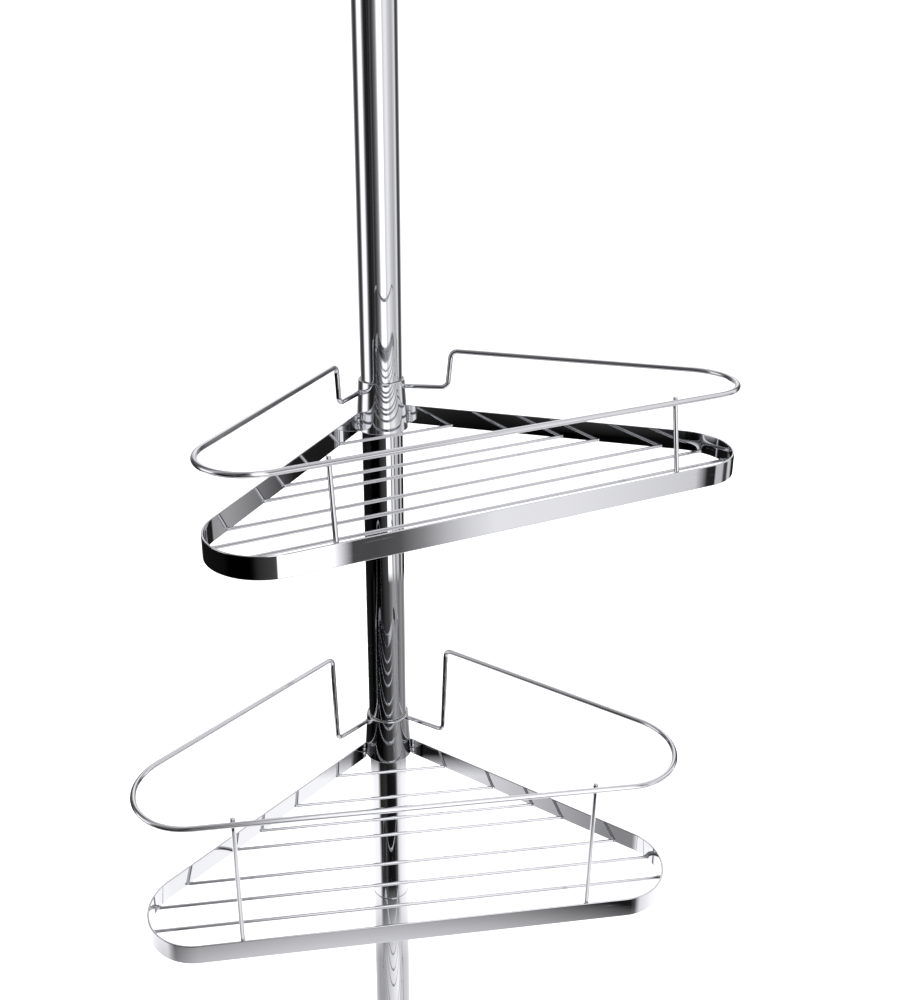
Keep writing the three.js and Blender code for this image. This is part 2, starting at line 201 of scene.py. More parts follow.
def graded(tree: Tree, value: Socket, *stops: tuple[float, str]) -> Socket:
    """Adds a colour ramp between two stops of position and sRGB colour."""
    ramp = add_node(tree, "ShaderNodeValToRGB", {"Fac": value})
    for element, (position, colour) in zip(ramp.color_ramp.elements, stops):
        element.position = position
        element.color = linear(colour)
    return ramp.outputs["Color"]


def principled(tree: Tree, inputs: dict) -> Socket:
    """Adds the surface shader and returns its output."""
    return add_node(tree, "ShaderNodeBsdfPrincipled", inputs).outputs["BSDF"]


@dataclass(frozen=True)
class ChromePlate(Finish):
    """Bright nickel-chrome plate on polished steel.

    The eye gets an almost perfect mirror: what tells it from glass is the slight ripple of the steel under
    the plate, hair scratches from wiping and a faint film where water dried.
    """

    label: str
    slot: str
    colour: str = "c9cacd"
    roughness: float = 0.022
    film_mm: float = 34.0
    film_roughness: float = 0.05
    spot_mm: float = 6.5
    spot_roughness: float = 0.08
    ripple_mm: float = 9.0
    ripple_height_mm: float = 0.0035
    scratch_length_mm: float = 26.0
    scratch_width_mm: float = 0.55  # real ones are a tenth of that, too fine to show
    scratch_roughness: float = 0.1

    def surface(self, tree: Tree) -> Socket:
        """Adds the plate's nodes and returns the shader output."""
        film = noise_field(tree, solid_coordinates(tree, self.film_mm), 5.0)
        spot_inputs = {"Vector": solid_coordinates(tree, self.spot_mm), "Scale": 1.0, "Randomness": 1.0}
        spots = add_node(tree, "ShaderNodeTexVoronoi", spot_inputs).outputs["Distance"]
        hairs = grain_coordinates(tree, self.scratch_length_mm, self.scratch_width_mm)
        scratches = noise_field(tree, hairs, 2.0, 0.4)
        film_amount = ranged(tree, film, (0.5, 0.72), (0.0, self.film_roughness))
        spot_amount = ranged(tree, spots, (0.06, 0.0), (0.0, self.spot_roughness))
        scratch_amount = ranged(tree, scratches, (0.66, 0.72), (0.0, self.scratch_roughness))
        haze = combined(tree, "ADD", film_amount, combined(tree, "ADD", spot_amount, scratch_amount))
        ripple = noise_field(tree, grain_coordinates(tree, 3 * self.ripple_mm, self.ripple_mm))
        inputs = {
            "Base Color": linear(self.colour),
            "Metallic": 1.0,
            "Roughness": combined(tree, "ADD", haze, self.roughness),
            "Normal": pressed(tree, ripple, self.ripple_height_mm),
        }
        return principled(tree, inputs)


@dataclass(frozen=True)
class ZincPlate(Finish):
    """Bright zinc plate on cold-drawn steel: greyer and duller than chrome, with drawing lines along it."""

    label: str = "zinc_plated_steel_drawn"
    slot: str = "zinc_steel"
    dull_colour: str = "8f9498"
    bright_colour: str = "b9bbb6"
    cloud_mm: float = 5.0
    roughness: float = 0.3
    line_length_mm: float = 60.0
    line_mm: float = 0.35
    line_depth_mm: float = 0.02

    def surface(self, tree: Tree) -> Socket:
        """Adds the plate's nodes and returns the shader output."""
        lines = noise_field(tree, grain_coordinates(tree, self.line_length_mm, self.line_mm), 3.0)
        clouds = noise_field(tree, solid_coordinates(tree, self.cloud_mm))
        inputs = {
            "Base Color": graded(tree, clouds, (0.0, self.dull_colour), (1.0, self.bright_colour)),
            "Metallic": 1.0,
            "Roughness": ranged(tree, lines, NOISE_SPAN, (self.roughness - 0.08, self.roughness + 0.1)),
            "Normal": pressed(tree, lines, self.line_depth_mm),
        }
        return principled(tree, inputs)


@dataclass(frozen=True)
class MouldedPlastic(Finish):
    """Injection-moulded plastic from a spark-eroded tool.

    The eye gets a satin skin with a fine pebble, colour that drifts a little with the melt's flow, and
    slightly polished high spots.
    """

    label: str
    slot: str
    colour: str
    drift_colour: str
    roughness: float
    ior: float
    flow_mm: float = 18.0
    pebble_mm: float = 0.9
    pebble_height_mm: float = 0.02
    subsurface: float = 0.0

    def surface(self, tree: Tree) -> Socket:
        """Adds the plastic's nodes and returns the shader output."""
        pebble = noise_field(tree, solid_coordinates(tree, self.pebble_mm), 3.0)
        flow = noise_field(tree, solid_coordinates(tree, self.flow_mm))
        inputs = {
            "Base Color": graded(tree, flow, (0.35, self.drift_colour), (0.65, self.colour)),
            "Roughness": ranged(tree, pebble, NOISE_SPAN, (self.roughness + 0.08, self.roughness - 0.06)),
            "IOR": self.ior,
            "Subsurface Weight": self.subsurface,
            "Subsurface Radius": (0.8 * MM, 0.8 * MM, 0.7 * MM),
            "Normal": pressed(tree, pebble, self.pebble_height_mm),
        }
        return principled(tree, inputs)


@dataclass(frozen=True)
class MouldedRubber(Finish):
    """Compression-moulded synthetic rubber: nearly black and matte, with a patchy bloom of pale dust."""

    label: str = "synthetic_rubber_moulded"
    slot: str = "grey_rubber"
    colour: str = "2c2d2f"
    bloom_colour: str = "55575a"
    bloom_mm: float = 11.0
    roughness: float = 0.72
    grit_mm: float = 0.7
    grit_height_mm: float = 0.05
    ior: float = 1.52

    def surface(self, tree: Tree) -> Socket:
        """Adds the rubber's nodes and returns the shader output."""
        grit = noise_field(tree, solid_coordinates(tree, self.grit_mm), 4.0)
        bloom = noise_field(tree, solid_coordinates(tree, self.bloom_mm), 6.0)
        inputs = {
            "Base Color": graded(tree, bloom, (0.4, self.colour), (0.85, self.bloom_colour)),
            "Roughness": ranged(tree, grit, NOISE_SPAN, (self.roughness + 0.1, self.roughness - 0.1)),
            "IOR": self.ior,
            "Normal": pressed(tree, grit, self.grit_height_mm),
        }
        return principled(tree, inputs)


class Finishes(Enum):
    """The finishes that the caddy's pieces are made in."""

    TUBE = ChromePlate("chrome_plated_steel_tube", "chrome_tube")
    STRIP = ChromePlate(
        "chrome_plated_steel_strip_rolled",
        "chrome_strip",
        roughness=0.012,
        film_roughness=0.02,
        ripple_mm=14.0,
        ripple_height_mm=0.004,
    )
    WIRE = ChromePlate("chrome_plated_steel_wire_drawn", "chrome_wire", roughness=0.035, ripple_mm=5.0)
    WELD = ChromePlate(
        "chrome_plated_weld", "chrome_wire", roughness=0.08, ripple_mm=1.2, ripple_height_mm=0.03
    )
    ZINC = ZincPlate()
    GREY = MouldedPlastic("grey_polypropylene_moulded", "grey_plastic", "74777b", "6c6f73", 0.42, 1.49)
    NYLON = MouldedPlastic(
        "natural_nylon_moulded",
        "white_nylon",
        "cfccc3",
        "c3c0b5",
        0.38,
        1.53,
        pebble_height_mm=0.01,
        subsurface=0.25,
    )
    RUBBER = MouldedRubber()


# ---------- mesh work ----------


def node_span(node: str) -> tuple[float, float]:
    """Lowest and highest height of a CAD node, in millimetres."""
    low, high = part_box(node)
    return low.z / MM, high.z / MM


def finished_piece(name: str, mesh: Mesh, finish: Finishes, body: str, *nodes: str) -> bpy.types.Object:
    """Turns a mesh into a piece of the caddy.

    Args:
        name: the piece's name.
        mesh: its closed mesh in metres, used up by this call.
        finish: what it is made in.
        body: the CAD body that it moves with.
        nodes: the CAD nodes that it stands for.

    Returns:
        The new object.
    """
    bmesh.ops.recalc_face_normals(mesh, faces=mesh.faces)
    data = bpy.data.meshes.new(name)
    mesh.to_mesh(data)
    mesh.free()
    data.shade_smooth()
    data.set_sharp_from_angle(angle=math.radians(38))
    data.materials.append(finish.value.material())
    piece = bpy.data.objects.new(name, data)
    bpy.context.scene.collection.objects.link(piece)
    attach(piece, body)
    if nodes:
        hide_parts(*nodes)
    log.info("%s: %d faces on body %s", name, len(data.polygons), body)
    return piece


def grain_map(mesh: Mesh) -> bmesh.types.BMLayerItem:
    """The mesh's grain map, made if it isn't there yet."""
    return mesh.loops.layers.uv.get(GRAIN) or mesh.loops.layers.uv.new(GRAIN)


def quad_grid(
    mesh: Mesh,
    rows: Sequence[Sequence[Vert]],
    lengths: Sequence[float],
    girths: Sequence[float],
) -> None:
    """Joins rings of vertices by quads, each ring closed, and writes the grain map.

    Args:
        mesh: the mesh that owns the vertices.
        rows: rings of equal count.
        lengths: metres along the piece, one for each ring.
        girths: metres round the ring, one for each vertex and one to close it.
    """
    grain = grain_map(mesh)
    for i in range(len(rows) - 1):
        count = len(rows[i])
        for j in range(count):
            k = (j + 1) % count
            near, far = girths[j], girths[j + 1]
            corners = [(i, j, near), (i, k, far), (i + 1, k, far), (i + 1, j, near)]
            face = mesh.faces.new([rows[a][b] for a, b, _ in corners])
            for loop, (a, _, girth) in zip(face.loops, corners):
                loop[grain].uv = (lengths[a], girth)


def capped(mesh: Mesh, ring: Sequence[Vert]) -> None:
    """Closes a ring with one flat face whose grain map is its plan."""
    grain = grain_map(mesh)
    face = mesh.faces.new(ring)
    for loop in face.loops:
        loop[grain].uv = (loop.vert.co.x, loop.vert.co.y)


def ring_girths(points: Sequence[Vector]) -> list[float]:
    """Running distance round a closed ring of points, with the full length at the end."""
    girths = [0.0]
    for i, point in enumerate(points):
        girths.append(girths[-1] + (points[(i + 1) % len(points)] - point).length)
    return girths


@dataclass(frozen=True)
class Round:
    """A round wire's section. A cropped and plated wire's ends are domed a little; swept caps this one
    flat, and only the posts' ends are rounded over, by soften_ends.
    """

    radius_mm: float
    sides: int = 16

    def points(self) -> list[Point2]:
        """The section's outline, in millimetres."""
        angles = [TURN * i / self.sides for i in range(self.sides)]
        return [(self.radius_mm * math.cos(a), self.radius_mm * math.sin(a)) for a in angles]


@dataclass(frozen=True)
class Strip:
    """A flat strip's section on edge, with its corners rounded by tumbling and plating."""

    thickness_mm: float
    height_mm: float
    edge_mm: float
    edge_steps: int = 4

    def points(self) -> list[Point2]:
        """The section's outline, across and up, in millimetres."""
        outline = []
        across, up = self.thickness_mm / 2 - self.edge_mm, self.height_mm / 2 - self.edge_mm
        for corner, (sx, sy) in enumerate([(1, 1), (-1, 1), (-1, -1), (1, -1)]):
            for step in range(self.edge_steps + 1):
                angle = (corner + step / self.edge_steps) * math.pi / 2
                out, rise = self.edge_mm * math.cos(angle), self.edge_mm * math.sin(angle)
                outline.append((sx * across + out, sy * up + rise))
        return with_supports(outline)


def swept(mesh: Mesh, path: Sequence[Vector], section: Round | Strip, upright: bool = False) -> None:
    """Sweeps a section along an open line of points and closes both ends.

    Args:
        mesh: the mesh that the sweep is added to.
        path: points in millimetres.
        section: the outline that is swept.
        upright: keeps the section's second axis on Z, as for a strip on edge.
    """
    steps = [(b - a).normalized() for a, b in zip(path, path[1:])]
    tangents = [steps[0]] + [(a + b).normalized() for a, b in zip(steps, steps[1:])] + [steps[-1]]
    side = tangents[0].orthogonal().normalized()
    rows, lengths, run, girths = [], [], 0.0, []
    previous = tangents[0]
    for i, (point, tangent) in enumerate(zip(path, tangents)):
        if upright:
            side, up = tangent.cross(Vector((0, 0, 1))).normalized(), Vector((0, 0, 1))
        else:
            side = previous.rotation_difference(tangent) @ side
            side = (side - tangent * side.dot(tangent)).normalized()
            up = tangent.cross(side)
        stretch = 1.0
        if 0 < i < len(path) - 1:
            stretch = 1 / max(0.5, math.cos(steps[i - 1].angle(steps[i]) / 2))
        outline = [point + side * (x * (stretch if upright else 1.0)) + up * y for x, y in section.points()]
        rows.append([mesh.verts.new(p * MM) for p in outline])
        if not girths:
            girths = [g * MM for g in ring_girths(outline)]
        run += (point - path[i - 1]).length * MM if i else 0.0
        lengths.append(run)
        previous = tangent
    quad_grid(mesh, rows, lengths, girths)
    capped(mesh, rows[0])
    capped(mesh, rows[-1])


def bent_line(corners: Sequence[Vector], radii: Sequence[float], step_deg: float = 5.0) -> list[Vector]:
    """Rounds the inner corners of an open line.

    Args:
        corners: the line's corners, in millimetres.
        radii: bend radius at each inner corner.
        step_deg: turn between two points of a bend.

    Returns:
        The line's points, with each bend as an arc.
    """
    points = [corners[0]]
    for before, corner, after, radius in zip(corners, corners[1:], corners[2:], radii):
        back, onward = (before - corner).normalized(), (after - corner).normalized()
        turn = math.pi - back.angle(onward)
        centre = corner + (back + onward).normalized() * (radius / math.cos(turn / 2))
        start = corner + back * (radius * math.tan(turn / 2)) - centre
        axis = onward.cross(back).normalized()
        count = max(2, math.ceil(math.degrees(turn) / step_deg))
        points += [centre + Quaternion(axis, turn * i / count) @ start for i in range(count + 1)]
    return points + [corners[-1]]


def subdivided(path: Sequence[Vector], longest_mm: float) -> list[Vector]:
    """Adds points to a line so that no stretch is longer than longest_mm."""
    points = [path[0]]
    for a, b in zip(path, path[1:]):
        count = max(1, math.ceil((b - a).length / longest_mm))
        points += [a.lerp(b, i / count) for i in range(1, count + 1)]
    return points


def rounded_corner(
    before: Vector, here: Vector, after: Vector, edge: float, steps: int = 4
) -> list[Point2]:
    """One rounded corner of an outline.

    Args:
        before: the outline's last corner.
        here: the corner that is rounded.
        after: the outline's next corner.
        edge: its edge radius, in millimetres.
        steps: faces in it.

    Returns:
        The corner's points in order.
    """
    back, onward = (before - here).normalized(), (after - here).normalized()
    half = back.angle(onward) / 2
    longest = 0.48  # share of a side that one corner may take
    reach = min(edge / math.tan(half), longest * (before - here).length, longest * (after - here).length)
    radius = reach * math.tan(half)
    centre = here + (back + onward).normalized() * (radius / math.sin(half))
    start, end = here + back * reach - centre, here + onward * reach - centre
    turn = start.angle_signed(end)
    spots = [centre + Matrix.Rotation(-turn * step / steps, 2) @ start for step in range(steps + 1)]
    return [(spot.x, spot.y) for spot in spots]


def rounded_profile(corners: Sequence[tuple[float, float, float]], steps: int = 4) -> list[Point2]:
    """A closed outline of radius and height with rounded corners.

    Args:
        corners: radius, height and edge radius of each corner, in millimetres.
        steps: faces in each rounded corner.

    Returns:
        The outline's points in order.
    """
    outline: list[Point2] = []
    places = [Vector(corner[:2]) for corner in corners]
    for i, (r, z, edge) in enumerate(corners):
        after = places[(i + 1) % len(places)]
        outline += rounded_corner(places[i - 1], places[i], after, edge, steps) if edge > 0 else [(r, z)]
    return outline


def with_supports(outline: Sequence[Point2], inset_mm: float = 0.12) -> list[Point2]:
    """Adds a point near both ends of each long side of a closed outline, to keep its shading flat."""
    points: list[Point2] = []
    for (r0, z0), (r1, z1) in zip(outline, [*outline[1:], outline[0]]):
        points.append((r0, z0))
        length = math.hypot(r1 - r0, z1 - z0)
        if length > 6 * inset_mm:
            for share in (inset_mm / length, 1 - inset_mm / length):
                points.append((r0 + (r1 - r0) * share, z0 + (z1 - z0) * share))
    return points


def turned(
    mesh: Mesh,
    outline: Sequence[Point2],
    segments: int = 96,
    shape: Callable[[float, float, float], float] | None = None,
) -> None:
    """Turns a closed outline about Z; points on the axis become poles.

    Args:
        mesh: the mesh that it is added to.
        outline: radius and height of each point, in millimetres.
        segments: faces round the axis.
        shape: given radius, height and angle, the radius wanted there, for flutes and knurls.
    """
    grain = grain_map(mesh)
    outline = with_supports(outline)
    runs = [0.0]
    for (r0, z0), (r1, z1) in zip(outline, [*outline[1:], outline[0]]):
        runs.append(runs[-1] + math.hypot(r1 - r0, z1 - z0) * MM)
    widest = max(r for r, _ in outline)
    rings: list[list[Vert]] = []
    for r, z in outline:
        if r < 1e-6:
            rings.append([mesh.verts.new((0, 0, z * MM))])
            continue
        ring = []
        for j in range(segments):
            angle = TURN * j / segments
            radius = shape(r, z, angle) if shape else r
            place = (radius * math.cos(angle) * MM, radius * math.sin(angle) * MM, z * MM)
            ring.append(mesh.verts.new(place))
        rings.append(ring)
    for i, ring in enumerate(rings):
        other = rings[(i + 1) % len(rings)]
        if len(ring) == 1 and len(other) == 1:
            continue
        for j in range(segments):
            k = (j + 1) % segments
            spots = [(ring, j, i), (ring, k, i), (other, k, i + 1), (other, j, i + 1)]
            if len(ring) == 1:
                spots = [(ring, 0, i), (other, k, i + 1), (other, j, i + 1)]
            elif len(other) == 1:
                spots = [(ring, j, i), (ring, k, i), (other, 0, i + 1)]
            face = mesh.faces.new([r[n] for r, n, _ in spots])
            for loop, (_, n, row) in zip(face.loops, spots):
                turn = (j + 1 if n == k and k == 0 else n) / segments
                loop[grain].uv = (runs[row], turn * TURN * widest * MM)


def turned_piece(
    name: str,
    outline: Sequence[Point2],
    finish: Finishes,
    body: str,
    node: str,
    segments: int = 96,
    shape: Callable[[float, float, float], float] | None = None,
) -> bpy.types.Object:
    """Makes a piece by turning an outline.

    Args:
        name: the piece's name.
        outline: radius and height of each point, in millimetres.
        finish: what it is made in.
        body: the CAD body that it moves with.
        node: the CAD node that it stands for.
        segments: faces round the axis.
        shape: as in turned.

    Returns:
        The new object.
    """
    mesh = bmesh.new()
    turned(mesh, outline, segments, shape)
    return finished_piece(name, mesh, finish, body, node)


def tube_outline(outer_mm: float, wall_mm: float, bottom_mm: float, top_mm: float) -> list[Point2]:
    """Outline of a tube cut square and deburred."""
    edge = 0.35
    inner = outer_mm - wall_mm
    places = [(outer_mm, bottom_mm), (outer_mm, top_mm), (inner, top_mm), (inner, bottom_mm)]
    return rounded_profile([(r, z, edge) for r, z in places])


def weld_bead(mesh: Mesh, place: Vector, along: Vector, size_mm: Size3, seed: int) -> None:
    """Adds a plated weld: a low uneven blob.

    Args:
        mesh: the mesh that it is added to.
        place: its middle, in millimetres.
        along: the direction of its length.
        size_mm: half its length, width and height.
        seed: shifts the unevenness, so that no two beads are alike.
    """
    grain = grain_map(mesh)
    made = bmesh.ops.create_icosphere(mesh, subdivisions=2, radius=1.0)
    turn = along.to_track_quat("X", "Z").to_matrix()
    for vert in made["verts"]:
        uneven = 1 + 0.22 * noise.noise(vert.co * 1.7 + Vector((seed * 3.1, seed * 1.7, 0)))
        shaped = Vector([c * s * uneven for c, s in zip(vert.co, size_mm)])
        vert.co = (turn @ shaped + place) * MM
    for face in {face for vert in made["verts"] for face in vert.link_faces}:
        for loop in face.loops:
            loop[grain].uv = (loop.vert.co.x, loop.vert.co.z)


# ---------- the shelves ----------


@dataclass(frozen=True)
class RailPlan:
    """A guard rail's height above the sleeve's top, its front's distance from the pole and its corner."""

    top: float
    front: float
    corner: float


class Rails(Enum):
    """The two guard rails of the caddy."""

    TALL = RailPlan(56.4, 169.6, 32.4)
    LOW = RailPlan(17.3, 160.0, 25.4)


@dataclass
class Shelf:
    """One triangular shelf: sleeve, wedge, rim strip, guard rail, posts and wires.

    Plan places are worked out with the front edge towards -Y and then turned by turn_deg.
    """

    name: str
    turn_deg: float
    rim_drop: float  # below the sleeve's top edge
    rail: RailPlan
    leg_deg: float = 46.9
    rim_front: float = 165.5
    rim_leg_offset: float = 10.4
    rim_corner: float = 29.8
    rim_height: float = 11.6
    rim_thickness: float = 1.0
    rail_leg_offset: float = 9.9
    rail_radius: float = 1.5
    rail_end_drop: Point2 = (7.0, 5.4)  # at the sleeve and at the step
    rail_step: Point2 = (38.5, 40.8)  # along the leg, at the step's bottom and top
    rail_bend: float = 4.5
    post_half_spacing: float = 94.0
    post_radius: float = 1.25
    post_nub: float = 0.5
    wire_radius: float = 0.95
    wire_setbacks: tuple[float, ...] = (21.0, 47.0, 67.3, 82.0, 106.8, 123.5, 140.6)
    sleeve_top_radius: float = 14.0
    sleeve_bottom_radius: float = 15.8
    sleeve_wall: float = 0.9
    pole_radius: float = 12.5
    wedge_bore_gap: float = 0.08
    wedge_top_drop: float = 0.6
    wedge_half_slit: float = 0.8
    top_z: float = field(init=False)

    def __post_init__(self) -> None:
        """Reads the sleeve's place from the frame."""
        self.top_z = node_span(f"{self.name}_sleeve")[1]

    @property
    def body(self) -> str:
        """The CAD body of the welded shelf."""
        return f"{self.name}_shelf"

    def placed(self, points: Iterable[Vector]) -> list[Vector]:
        """Turns plan places about the pole and lifts them to the sleeve's top."""
        turn = Matrix.Rotation(math.radians(self.turn_deg), 3, "Z")
        return [turn @ p + Vector((0, 0, self.top_z)) for p in points]

    def on_leg(self, side: int, offset: float, along: float, z: float) -> Vector:
        """A place beside a leg's direction, side +1 for the right one, along it from the pole."""
        leg = math.radians(self.leg_deg)
        return Vector(
            (
                side * (offset * math.cos(leg) + along * math.sin(leg)),
                offset * math.sin(leg) - along * math.cos(leg),
                z,
            )
        )

    def front_corner(self, side: int, front: float, offset: float, z: float) -> Vector:
        """Where a leg's line meets the front line."""
        leg = math.radians(self.leg_deg)
        return self.on_leg(side, offset, (front + offset * math.sin(leg)) / math.cos(leg), z)

    def build(self) -> None:
        """Builds and dresses every piece of the shelf."""
        self.build_sleeve()
        self.build_wedges()
        self.build_rim()
        self.build_rail()
        self.build_posts()
        self.build_wires()
        self.build_welds()

    def build_sleeve(self) -> None:
        """The slightly conical sleeve round the wedge, its lips rolled over."""
        height = self.sleeve_height()
        top, bottom, wall = self.sleeve_top_radius, self.sleeve_bottom_radius, self.sleeve_wall
        outline = rounded_profile(
            [(bottom, -height, 0.4), (top, 0, 0.4), (top - wall, 0, 0.35), (bottom - wall, -height, 0.35)]
        )
        lifted = [(r, z + self.top_z) for r, z in outline]
        turned_piece(f"{self.body}_sleeve", lifted, Finishes.TUBE, self.body, f"{self.name}_sleeve", 128)

    def sleeve_height(self) -> float:
        """The sleeve's height, from the frame."""
        low, high = node_span(f"{self.name}_sleeve")
        return high - low

    def build_wedges(self) -> None:
        """The two moulded half cones between the pole and the sleeve."""
        height, clearance = self.sleeve_height(), 0.1
        wall = self.sleeve_wall + clearance
        bore = self.pole_radius + self.wedge_bore_gap
        outline = [
            (self.sleeve_bottom_radius - wall, -height),
            (self.sleeve_top_radius - wall, -self.wedge_top_drop),
            (bore, -self.wedge_top_drop),
            (bore, -height),
        ]
        half_gap = math.asin(self.wedge_half_slit / bore)
        girths = [g * MM for g in ring_girths([Vector((r, 0, z)) for r, z in outline])]
        count = 40
        lengths = [bore * MM * math.pi * i / count for i in range(count + 1)]
        for word, start in (("right", -math.pi / 2), ("left", math.pi / 2)):
            mesh = bmesh.new()
            rows = []
            for step in range(count + 1):
                angle = start + half_gap + (math.pi - 2 * half_gap) * step / count
                spots = [Vector((r * math.cos(angle), r * math.sin(angle), z)) for r, z in outline]
                rows.append([mesh.verts.new(p * MM) for p in self.placed(spots)])
            quad_grid(mesh, rows, lengths, girths)
            capped(mesh, rows[0])
            capped(mesh, rows[-1])
            piece, node = f"{self.body}_wedge_{word}", f"{self.name}_wedge_{word}"
            finished_piece(piece, mesh, Finishes.NYLON, f"{self.name}_grip", node)

    def rim_middle(self) -> list[Vector]:
        """The middle line of the rim strip, from the right leg's back end to the left one's."""
        half = self.rim_thickness / 2
        offset, front = self.rim_leg_offset - half, self.rim_front - half
        start = math.sqrt((self.sleeve_bottom_radius - 0.15) ** 2 - offset**2)
        z = -self.rim_drop - self.rim_height / 2
        corners = [
            self.on_leg(1, offset, start, z),
            self.front_corner(1, front, offset, z),
            self.front_corner(-1, front, offset, z),
            self.on_leg(-1, offset, start, z),
        ]
        return bent_line(corners, [self.rim_corner - half] * 2, 2.5)

    def build_rim(self) -> None:
        """The flat strip on edge, bent round the shelf's front corners."""
        mesh = bmesh.new()
        path = self.placed(subdivided(self.rim_middle(), 12))
        swept(mesh, path, Strip(self.rim_thickness, self.rim_height, 0.3), upright=True)
        finished_piece(f"{self.body}_rim", mesh, Finishes.STRIP, self.body, f"{self.name}_rim")

    def rail_line(self) -> list[Vector]:
        """The rail's middle line, from its right end on the sleeve to its left one."""
        at_sleeve, at_step = (-drop for drop in self.rail_end_drop)
        start = math.sqrt((self.sleeve_top_radius + 0.5) ** 2 - self.rail_leg_offset**2)
        sides = {}
        for side in (1, -1):
            sides[side] = [
                self.on_leg(side, self.rail_leg_offset, start, at_sleeve),
                self.on_leg(side, self.rail_leg_offset, self.rail_step[0], at_step),
                self.on_leg(side, self.rail_leg_offset, self.rail_step[1], self.rail.top),
                self.front_corner(side, self.rail.front, self.rail_leg_offset, self.rail.top),
            ]
        bends = [self.rail_bend, self.rail_bend, self.rail.corner]
        return bent_line([*sides[1], *reversed(sides[-1])], [*bends, *reversed(bends)], 6)

    def build_rail(self) -> None:
        """The guard rail, one bent wire whose ends run in to the sleeve."""
        mesh = bmesh.new()
        swept(mesh, subdivided(self.placed(self.rail_line()), 15), Round(self.rail_radius, 20))
        finished_piece(f"{self.body}_rail", mesh, Finishes.WIRE, self.body, f"{self.name}_rail")

    def post_line(self, side: int) -> list[Vector]:
        """A post's middle line: flat against the rim inside, then leaning to the rail's inner side."""
        x = side * self.post_half_spacing
        rim_y = -(self.rim_front - self.rim_thickness - self.post_radius)
        rail_y = -(self.rail.front - self.rail_radius - self.post_radius)
        knee = Vector((x, rim_y, -self.rim_drop - 2.5))
        at_rail = Vector((x, rail_y, self.rail.top))
        tip = at_rail + (at_rail - knee).normalized() * (self.rail_radius + self.post_nub)
        foot = Vector((x, rim_y, -self.rim_drop - self.rim_height + 3))
        return bent_line([foot, knee, tip], [14.0], 1.5)

    def build_posts(self) -> None:
        """The two posts between rim and rail."""
        for side, word in ((1, "right"), (-1, "left")):
            mesh = bmesh.new()
            path = subdivided(self.placed(self.post_line(side)), 8)
            swept(mesh, path, Round(self.post_radius))
            soften_ends(mesh, path, self.post_radius)
            node = f"{self.name}_post_{word}"
            finished_piece(f"{self.body}_post_{word}", mesh, Finishes.WIRE, self.body, node)

    def inner_half_width(self, setback: float) -> float:
        """Half the free width between the rim's inner faces, at a distance in front of the pole."""
        leg = math.radians(self.leg_deg)
        offset = self.rim_leg_offset - self.rim_thickness
        radius = self.rim_corner - self.rim_thickness
        centre_y = self.rim_front - self.rim_corner
        centre_x = (offset - radius + centre_y * math.sin(leg)) / math.cos(leg)
        if setback < centre_y - radius * math.sin(leg):
            return (offset + setback * math.sin(leg)) / math.cos(leg)
        return centre_x + math.sqrt(radius**2 - (setback - centre_y) ** 2)

    def wire_z(self) -> float:
        """Height of the wires' middle: they lie flush with the rim's lower edge."""
        return -self.rim_drop - self.rim_height + self.wire_radius

    def build_wires(self) -> None:
        """The wires that things stand on, each welded to the rim's inner faces."""
        for number, setback in enumerate(self.wire_setbacks, 1):
            half = self.inner_half_width(setback) + 0.1
            ends = [Vector((side * half, -setback, self.wire_z())) for side in (1, -1)]
            mesh = bmesh.new()
            swept(mesh, subdivided(self.placed(ends), 10), Round(self.wire_radius, 14))
            node = f"{self.name}_wire_{number}"
            finished_piece(f"{self.body}_wire_{number}", mesh, Finishes.WIRE, self.body, node)

    def build_welds(self) -> None:
        """The welds at the ends of wires, posts, rail and rim."""
        mesh = bmesh.new()
        beads = [bead for side in (1, -1) for bead in self.side_beads(side)]
        for seed, (place, along, size) in enumerate(beads, 1):
            spot, tip = self.placed([place, place + along])
            weld_bead(mesh, spot, tip - spot, size, seed)
        finished_piece(f"{self.body}_welds", mesh, Finishes.WELD, self.body)

    def side_beads(self, side: int) -> list[tuple[Vector, Vector, Size3]]:
        """Plan place, direction and half sizes of each weld on one side, +1 for the right one."""
        inward, upward = Vector((-side, 0, 0)), Vector((0, 0, 1))
        leg_way = self.on_leg(side, 0, 1, 0)
        beads = []
        for setback in self.wire_setbacks:
            place = Vector((side * (self.inner_half_width(setback) - 0.5), -setback, self.wire_z() + 0.25))
            beads.append((place, leg_way, (1.7, 1.0, 0.8)))
        post = self.post_line(side)
        at_rim = Vector((post[0].x, -(self.rim_front - self.rim_thickness - 0.3), -self.rim_drop - 5.5))
        at_rail = Vector((post[-1].x, -(self.rail.front - self.rail_radius - 0.2), self.rail.top))
        rail_end = self.on_leg(side, self.rail_leg_offset - 0.2, 10.4, -self.rail_end_drop[0])
        beads.append((at_rim, inward, (1.5, 0.8, 2.2)))
        beads.append((at_rail, inward, (1.0, 1.0, 1.2)))
        beads.append((rail_end, Vector((0, 1, 0)), (2.0, 1.5, 1.7)))
        for share in (0.2, 0.5, 0.8):
            z = -self.rim_drop - self.rim_height * share
            rim_end = self.on_leg(side, self.rim_leg_offset - self.rim_thickness - 0.1, 14.2, z)
            beads.append((rim_end, upward, (2.6, 0.9, 0.9)))
        return beads


def soften_ends(mesh: Mesh, path: Sequence[Vector], radius_mm: float) -> None:
    """Rounds a swept wire's two cut ends over."""
    ends = [path[0] * MM, path[-1] * MM]
    rims = [
        edge
        for edge in mesh.edges
        if len(edge.link_faces) == 2
        and any(len(face.verts) > 4 for face in edge.link_faces)
        and min((edge.verts[0].co - end).length for end in ends) < 1.5 * radius_mm * MM
    ]
    bmesh.ops.bevel(mesh, geom=rims, offset=0.45 * radius_mm * MM, segments=3, affect="EDGES", profile=0.5)


# ---------- the pole ----------


